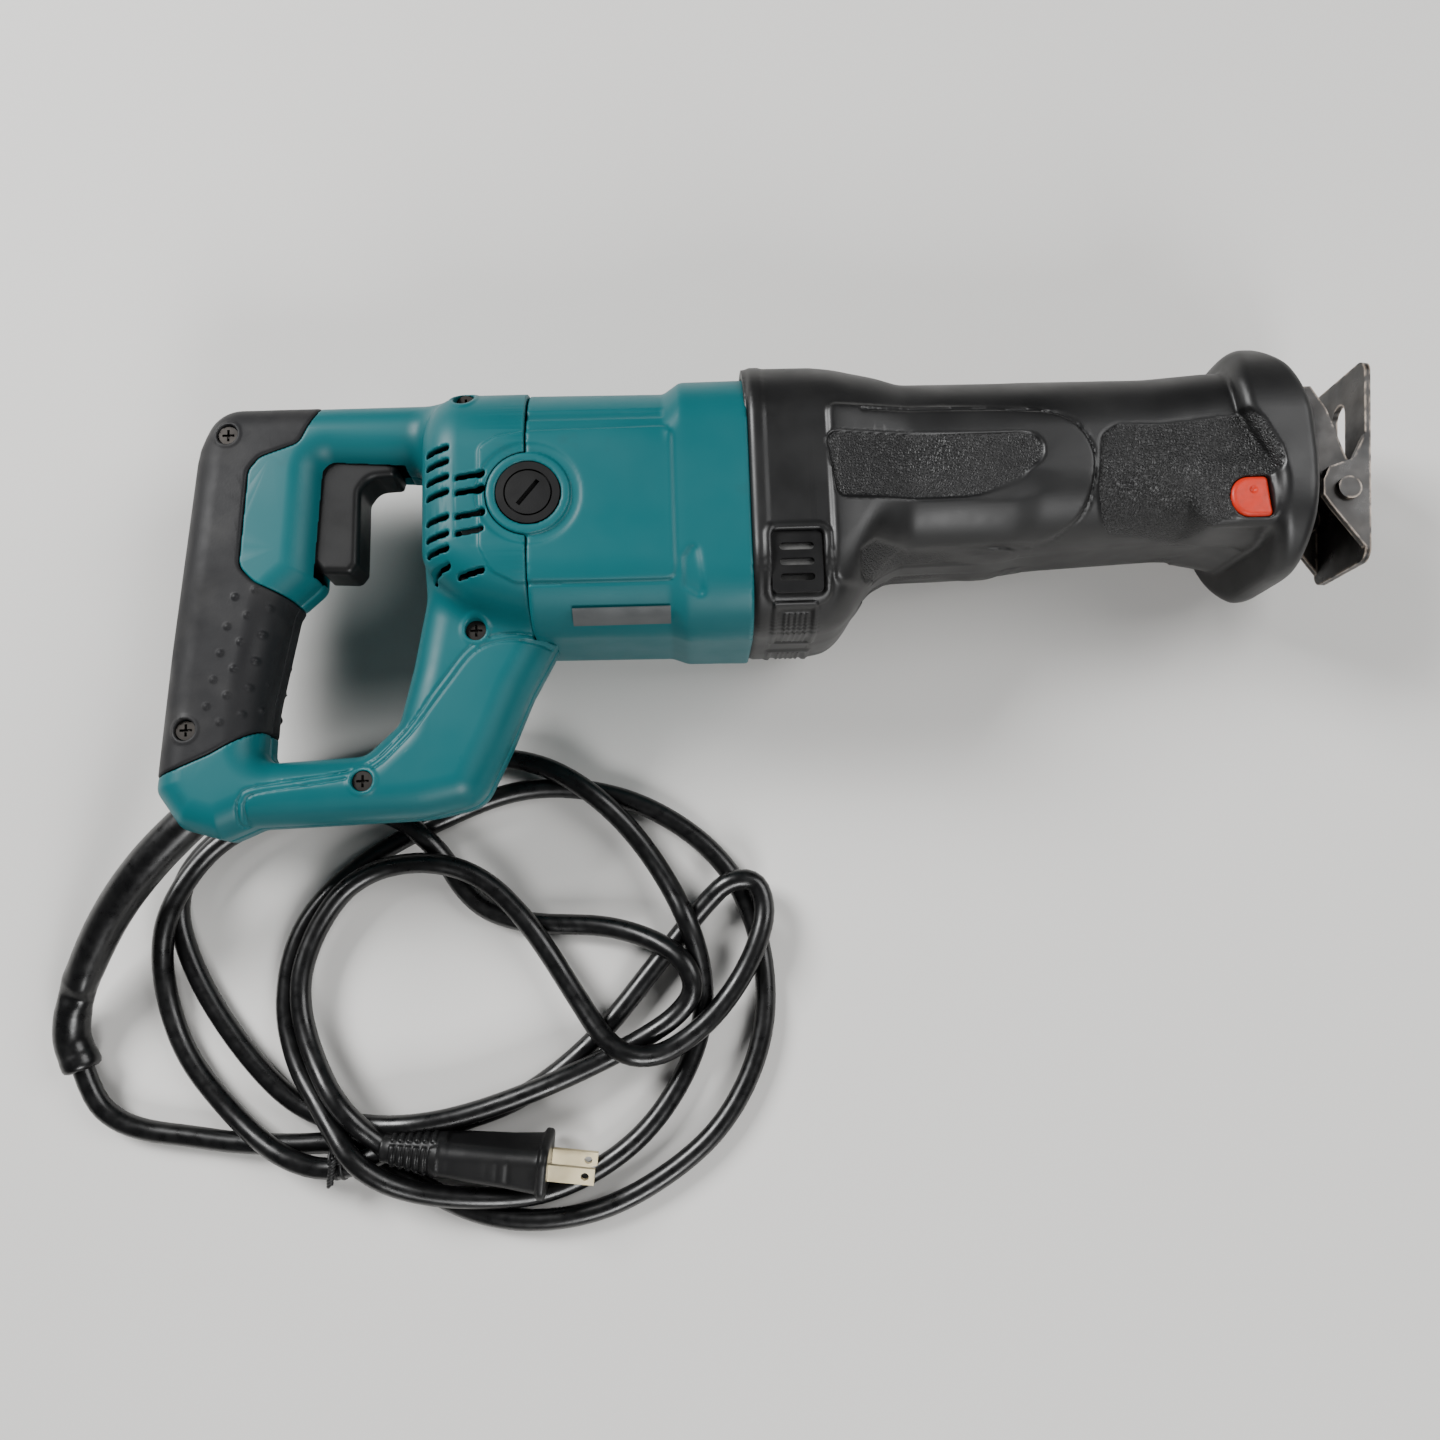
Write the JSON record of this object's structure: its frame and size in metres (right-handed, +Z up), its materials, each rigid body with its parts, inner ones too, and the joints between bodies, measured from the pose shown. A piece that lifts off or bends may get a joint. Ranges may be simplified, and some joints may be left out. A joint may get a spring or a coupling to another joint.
{
  "type": "reciprocating saw",
  "caption": "Corded reciprocating saw with a D-shaped handle, rubber-booted gear case, keyless blade clamp, pivoting shoe and a loosely tied cord, lying on its side.",
  "frame": {"origin": "on the floor under the middle of the saw's own box, with the cord left out", "axes": "+X to the blade end along the plunger, +Y to the top of the saw, +Z up from the floor out of the saw's right side"},
  "size_m": [0.5018, 0.3197, 0.0883],
  "materials": {
    "teal_shell": "fine spark-eroded grain",
    "black_grip": "soft matt overmould",
    "dark_plastic": "satin",
    "boot_rubber": "matt moulded rubber with woven-texture panels",
    "cast_case": "as cast",
    "bearing_steel": "ground",
    "shaft_steel": "ground and oiled",
    "gear_steel": "hardened",
    "laminated_steel": "laminated and varnished",
    "enamel_copper": "enamelled winding wire",
    "copper_bar": "turned copper",
    "brass_tube": "drawn",
    "carbon": "pressed carbon",
    "spring_steel": "wire",
    "bronze_bush": "oil-filled sintered bronze",
    "felt": "felt wiper",
    "shoe_steel": "pressed, worn satin",
    "clamp_steel": "blackened",
    "red_button": "satin moulded",
    "screw_steel": "black oxide",
    "label_film": "blank plate",
    "cord_jacket": "rubber jacket",
    "plug_rubber": "moulded",
    "plug_brass": "plated blade",
    "tie_wire": "coated wire twist"
  },
  "bodies": {
    "root": {"left_handle_half": "teal_shell", "right_handle_half": "teal_shell", "left_grip_cover": "black_grip", "right_grip_cover": "black_grip", "handle_screws": "screw_steel", "motor_housing": "teal_shell", "label_plate": "label_film", "brush_caps": "dark_plastic", "brush_holders": "brass_tube", "carbon_brushes": "carbon", "brush_springs": "spring_steel", "stator_core": "laminated_steel", "field_coils": "enamel_copper", "motor_bearing_outer_rings": "bearing_steel", "motor_bearing_balls": "bearing_steel", "bearing_plate": "cast_case", "gear_housing": "cast_case", "housing_screws": "screw_steel", "rubber_boot": "boot_rubber", "vent_grilles": "dark_plastic", "crank_cover": "cast_case", "crank_bearing_outer_ring": "bearing_steel", "crank_bearing_balls": "bearing_steel", "slider_bushings": "bronze_bush", "front_seal": "felt", "switch_body": "dark_plastic", "cord_clamp": "dark_plastic", "cord_clamp_screws": "screw_steel", "cord_guard": "cord_jacket", "power_cord": "cord_jacket", "cord_coil": "cord_jacket", "cord_tie": "tie_wire", "plug_body": "plug_rubber", "plug_blades": "plug_brass"},
    "armature": {"armature_shaft": "shaft_steel", "armature_core": "laminated_steel", "armature_windings": "enamel_copper", "commutator": "copper_bar", "motor_fan": "dark_plastic", "motor_bearing_inner_rings": "bearing_steel"},
    "crank": {"crank_gear": "gear_steel", "crank_shaft": "shaft_steel", "crank_pin": "shaft_steel", "crank_roller": "bearing_steel", "crank_bearing_inner_ring": "bearing_steel"},
    "slider": {"plunger": "shaft_steel", "clamp_body": "clamp_steel", "clamp_pin": "shaft_steel", "clamp_ring": "spring_steel"},
    "clamp": {"clamp_sleeve": "clamp_steel", "clamp_spring": "spring_steel"},
    "shoe_slide": {"shoe_plate": "shoe_steel", "shoe_rivets": "shaft_steel"},
    "shoe_foot": {"shoe": "shoe_steel"},
    "button": {"shoe_button": "red_button"},
    "switch_trigger": {"trigger": "dark_plastic", "trigger_spring": "spring_steel"}
  },
  "joints": [
    {"name": "armature_spin", "type": "hinge", "parent": "root", "child": "armature", "pos_m": [0, 0.026, 0.044], "axis": [1, 0, 0], "continuous": true},
    {"name": "crank_spin", "type": "hinge", "parent": "root", "child": "crank", "pos_m": [0.03, 0.015, 0.044], "axis": [0, 1, 0], "continuous": true},
    {"name": "plunger_stroke", "type": "slide", "parent": "root", "child": "slider", "axis": [1, 0, 0], "range_m": [-0.014, 0.014]},
    {"name": "clamp_turn", "type": "hinge", "parent": "slider", "child": "clamp", "pos_m": [0.18, 0.042, 0.044], "axis": [1, 0, 0], "range_deg": [0, 60], "stiffness_Nm_per_rad": 0.05, "springref_deg": -17.19},
    {"name": "shoe_adjust", "type": "slide", "parent": "root", "child": "shoe_slide", "axis": [1, 0, 0], "range_m": [0, 0.03]},
    {"name": "shoe_pivot", "type": "hinge", "parent": "shoe_slide", "child": "shoe_foot", "pos_m": [0.212, 0.0275, 0.044], "axis": [0, 0, 1], "range_deg": [-12, 12]},
    {"name": "button_press", "type": "slide", "parent": "root", "child": "button", "axis": [0, 0, -1], "range_m": [0, 0.003]},
    {"name": "trigger_pull", "type": "slide", "parent": "root", "child": "switch_trigger", "axis": [-1, 0, 0], "range_m": [0, 0.006], "stiffness_N_per_m": 800, "springref_m": -0.003, "deforming": ["trigger_spring"]}
  ],
  "couplings": [
    {"joint": "crank_spin", "follows": "armature_spin", "ratio": -0.17391}
  ]
}
